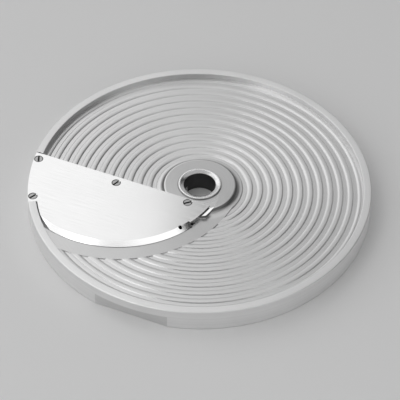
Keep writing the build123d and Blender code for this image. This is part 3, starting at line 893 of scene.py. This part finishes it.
# Painted shadow: the boss is darker in a ring just outside the bush.
share = spread(tree, axis["Radius"], BUSH_SHADOW_TONE, 1.0, BUSH_SHADOW_START * MM, BUSH_SHADOW_END * MM)
for zone, tone in ZONE_TONES:
    share = maths(tree, "MULTIPLY", share, spread(tree, zone, 1.0, tone))
ring_tone = from_noise(tree, lines, *RING_TONES)
turned_tone = maths(tree, "ADD", ring_tone, from_noise(tree, grains["Cloud"], *CLOUD_TONES))
top_tone = maths(tree, "MULTIPLY", turned_tone, share)
grey = blend(tree, cast_skin, top_tone, from_noise(tree, grains["Cloud"], *SKIN_TONES))
rougher = maths(tree, "MULTIPLY", on_rim, RIM_ROUGHER)
turned = maths(tree, "ADD", from_noise(tree, lines, *RING_ROUGHNESS), rougher)
roughness = blend(tree, cast_skin, blend(tree, lip_highlight, turned, LIP_ROUGHNESS), SKIN_ROUGHNESS)
relief = blend(tree, cast_skin, lines, maths(tree, "MULTIPLY", grains["Grain"], SKIN_RELIEF))
wire(tree, shader, grey, roughness, relief, RING_DEPTH * MM)
outward = add_node(tree, "VectorMath", {0: spot, 1: (1, 1, 0)}, operation="MULTIPLY").outputs[0]
tree.links.new(outward, shader["Tangent"])
casting.data.materials.append(aluminium)
print("finish of the casting:", aluminium.name)

# %% [markdown]
# The blade is ground steel. Grinding runs along its back edge and leaves long fine streaks, so the
# noise is stretched: slow along that line and quick across it. The bevel is honed brighter than the
# flat, and a distance from the edge's centre finds it.

# %% Ground steel of the blade
ALONG_SCALE, ACROSS_SCALE, GRIND_DEPTH = 45.0, 1600.0, 0.001
GRIND_TONES, CLOUD_SHIFT, HONED_TONE = (0.83, 0.89), (-0.015, 0.015), 0.92
GRIND_ROUGHNESS, HONED_ROUGHNESS = (0.12, 0.17), 0.14
blade_steel, tree, shader = metal("ground_steel")
spot = add_node(tree, "TexCoord").outputs["Object"]
c, s = np.cos(BLADE_TURN), np.sin(BLADE_TURN)
along_way, across_way = ALONG_SCALE * np.array([c, s, 0]), ACROSS_SCALE * np.array([-s, c, 0])
along_back, over_back = [
    add_node(tree, "VectorMath", {0: spot, 1: way}, operation="DOT_PRODUCT").outputs["Value"]
    for way in (along_way, across_way)
]
streaks = add_node(tree, "CombineXYZ", {"X": along_back, "Y": over_back}).outputs[0]
grind = add_node(tree, "TexNoise", {"Vector": streaks, **fine_noise}, noise_dimensions="2D").outputs[0]
cloud = use_group(tree, metal_grain)["Cloud"]
edge_middle = to_scene(np.array([[EDGE_X, EDGE_Y, 0.0]]))[0]
flat_spot = add_node(tree, "VectorMath", {0: spot, 1: (1, 1, 0)}, operation="MULTIPLY").outputs[0]
from_middle = add_node(tree, "VectorMath", {0: flat_spot, 1: edge_middle}, operation="DISTANCE")
honed = maths(tree, "GREATER_THAN", from_middle.outputs["Value"], (BEVEL_INNER + 0.02) * MM)
tone = maths(tree, "ADD", from_noise(tree, grind, *GRIND_TONES), from_noise(tree, cloud, *CLOUD_SHIFT))
grey = blend(tree, honed, tone, HONED_TONE)
roughness = blend(tree, honed, from_noise(tree, grind, *GRIND_ROUGHNESS), HONED_ROUGHNESS)
wire(tree, shader, grey, roughness, grind, GRIND_DEPTH * MM)
blade.data.materials.append(blade_steel)
print("finish of the blade:", blade_steel.name)

# %% [markdown]
# The bush is turned steel, bright on its ring. Its bore is painted nearly black as shade inside the hole, and
# its outer edge is painted darker as shade, and the radius tells the two apart.

# %% Turned steel of the bush
BORE_SHADE, BUSH_WALL_SHADE = (BORE_RADIUS + 0.02, BORE_RADIUS + 0.25), (BUSH_OUTER - 0.2, BUSH_OUTER - 0.06)
BUSH_SPACING, BUSH_RING_DEPTH, BUSH_WALL_SHADE_SHARE = 0.3, 0.004, 0.45
BUSH_TONES, BORE_SHADE_TONES = (0.82, 0.94), (0.08, 0.14)
BUSH_ROUGHNESS, DARK_ROUGHNESS = (0.18, 0.26), 0.45
bush_steel, tree, shader = metal("turned_steel")
axis = use_group(tree, around_axis)
sockets = {"Radius": axis["Radius"], "Height": axis["Height"], "Spacing": BUSH_SPACING * MM}
lines = use_group(tree, turning_lines, **sockets)["Lines"]
cloud = use_group(tree, metal_grain)["Cloud"]
# Painted shade: the bore is nearly black, and the bush's outer edge darker, where shade falls.
bore = spread(tree, axis["Radius"], 1.0, 0.0, *np.array(BORE_SHADE) * MM)
outside = spread(tree, axis["Radius"], 0.0, 1.0, *np.array(BUSH_WALL_SHADE) * MM)
dark = maths(tree, "MAXIMUM", bore, maths(tree, "MULTIPLY", outside, BUSH_WALL_SHADE_SHARE))
grey = blend(tree, dark, from_noise(tree, lines, *BUSH_TONES), from_noise(tree, cloud, *BORE_SHADE_TONES))
roughness = blend(tree, dark, from_noise(tree, lines, *BUSH_ROUGHNESS), DARK_ROUGHNESS)
wire(tree, shader, grey, roughness, lines, BUSH_RING_DEPTH * MM)
bush.data.materials.append(bush_steel)
print("finish of the bush:", bush_steel.name)

# %% [markdown]
# The screws are plain steel, faced on a lathe. Their slots and the ring round their heads are painted nearly
# black as shade. Each head's rings need the distance from its own axis, which the mesh carries as an
# attribute.

# %% Steel of the screws
SLOT_SHADE, HEAD_EDGE_SHADE = (HEAD_TOP - 0.30, HEAD_TOP - 0.06), (2.1, 2.5)
FACING_SPACING, FACING_DEPTH, SHADE_FINENESS = 0.25, 0.003, 1500.0
FACED_TONES, SHADE_TONES, FACED_ROUGHNESS, SHADE_ROUGHNESS = (0.42, 0.54), (0.02, 0.05), 0.34, 0.6
screw_steel, tree, shader = metal("faced_steel")
head_radius = add_node(tree, "Attribute", attribute_name="own_radius").outputs["Fac"]
lines = use_group(tree, turning_lines, Radius=head_radius, Spacing=FACING_SPACING * MM)["Lines"]
grain = use_group(tree, metal_grain, Fineness=SHADE_FINENESS)["Grain"]
screw_height = use_group(tree, around_axis)["Height"]
# Painted shade: the slots and the ring round each head are nearly black.
in_slot = spread(tree, screw_height, 1.0, 0.0, *np.array(SLOT_SHADE) * MM)
at_edge = spread(tree, head_radius, 0.0, 1.0, *np.array(HEAD_EDGE_SHADE) * MM)
slot_and_edge_shade = maths(tree, "MAXIMUM", in_slot, at_edge)
grey = blend(tree, slot_and_edge_shade, from_noise(tree, lines, *FACED_TONES), from_noise(tree, grain, *SHADE_TONES))
roughness = blend(tree, slot_and_edge_shade, FACED_ROUGHNESS, SHADE_ROUGHNESS)
wire(tree, shader, grey, roughness, lines, FACING_DEPTH * MM)
screws.data.materials.append(screw_steel)
print("finish of the screws:", screw_steel.name)

# %% [markdown]
# A studio floor is a sheet of pale paper. A curved backdrop could hide the horizon, but from this
# height the camera sees only floor, so one flat sheet will do. It lies a tenth of a millimetre under
# the disc, so that the rim's foot and the paper don't share one plane.

# %% Floor
FLOOR_REACH, FLOOR_LEVEL = 3.0, -0.0001
FLOOR_TONE, FLOOR_ROUGHNESS = 0.78, 0.9
floor_mesh = bpy.data.meshes.new("studio_floor")
corners = FLOOR_REACH * np.array([(-1, -1, 0), (1, -1, 0), (1, 1, 0), (-1, 1, 0)]) + [0, 0, FLOOR_LEVEL]
floor_mesh.from_pydata(corners.tolist(), [], [(0, 1, 2, 3)])
floor = bpy.data.objects.new("studio_floor", floor_mesh)
bpy.context.scene.collection.objects.link(floor)
paper = bpy.data.materials.new("pale_paper")
paper.use_nodes = True
paper_shader = paper.node_tree.nodes["Principled BSDF"].inputs
paper_shader["Base Color"].default_value = (FLOOR_TONE, FLOOR_TONE, FLOOR_TONE, 1)
paper_shader["Roughness"].default_value = FLOOR_ROUGHNESS
floor.data.materials.append(paper)
print("floor", 2 * FLOOR_REACH, "m wide")

# %% [markdown]
# Bare metal shows its surroundings more than any lamp, so the light is a ring of large soft panels
# that stand where the metal looks. A picture of a studio wrapped round the world would do as well, but
# panels can be moved one by one. A lamp's look in metal is its radiance, so the panels are set by that
# and not by their power.

# %% Panels of light


def light_panel(name, width, tall, radiance, place, away):
    """A rectangular lamp with its back turned away: its power is its radiance times pi times its area."""
    lamp = bpy.data.lights.new(name, "AREA")
    lamp.shape = "RECTANGLE"
    lamp.size, lamp.size_y = width, tall
    lamp.energy = radiance * np.pi * width * tall
    panel = bpy.data.objects.new(name, lamp)
    panel.location = place
    panel.rotation_euler = Vector(away).to_track_quat("Z", "Y").to_euler()
    bpy.context.scene.collection.objects.link(panel)


def standing_panel(name, start, end, foot, head, radiance):
    """An upright panel between two directions in degrees, as seen from the disc, and two heights."""
    turn, half = np.radians([(start + end) / 2, (end - start) / 2])
    away = np.array([np.cos(turn), np.sin(turn), 0.0])
    place = away * PANEL_DISTANCE + [0, 0, (foot + head) / 2]
    light_panel(name, 2 * PANEL_DISTANCE * np.tan(half), head - foot, radiance, place, away)


# %% [markdown]
# The key panel ends straight behind the disc: ridges on the right show its bright side and ridges on the left
# the dimmer back panel. Low panels light the walls, and the front panel fills the bevel with white. The dim
# panels on the right leave the foot of the hub dark, and painted shade on the casting darkens it further.

# %% Lights
PANEL_DISTANCE, CEILING, KEY_END = 1.5, 1.6, 91.5
AIR_LIGHT = 0.03
# Two directions in degrees, the heights of foot and head in metres, and the radiance.
STANDING_PANELS = {
    "key_panel": (KEY_END, 140, 0.8, 3.6, 1.04),
    "key_foot": (KEY_END, 140, 0.1, 0.8, 0.5),
    "left_panel": (140, 190, 1.3, 3.6, 0.42),
    "left_foot": (140, 190, 0.1, 1.3, 1.1),
    "back_panel": (60, KEY_END, 0.1, 3.6, 0.4),
    "side_panel": (183, 236, 1.2, 2.8, 1.03),
    "side_foot": (190, 265, 0.05, 1.2, 0.95),
    "corner_panel": (-93, -5, 0.05, 1.25, 0.55),
    "east_foot": (-5, 60, 0.1, 1.0, 0.26),
}
# The width and depth in metres, the radiance, and the place of the middle.
HANGING_PANELS = {
    "top_panel": (2.4, 1.2, 0.42, (0, 0.35, CEILING)),
    "front_panel": (2.9, 0.62, 1.16, (0.15, -0.74, CEILING)),
}
for name, sizes in STANDING_PANELS.items():
    standing_panel(name, *sizes)
for name, sizes in HANGING_PANELS.items():
    light_panel(name, *sizes, away=(0, 0, 1))
world = bpy.data.worlds.new("studio_air")
world.use_nodes = True
world.node_tree.nodes["Background"].inputs["Color"].default_value = (1, 1, 1, 1)
world.node_tree.nodes["Background"].inputs["Strength"].default_value = AIR_LIGHT
bpy.context.scene.world = world
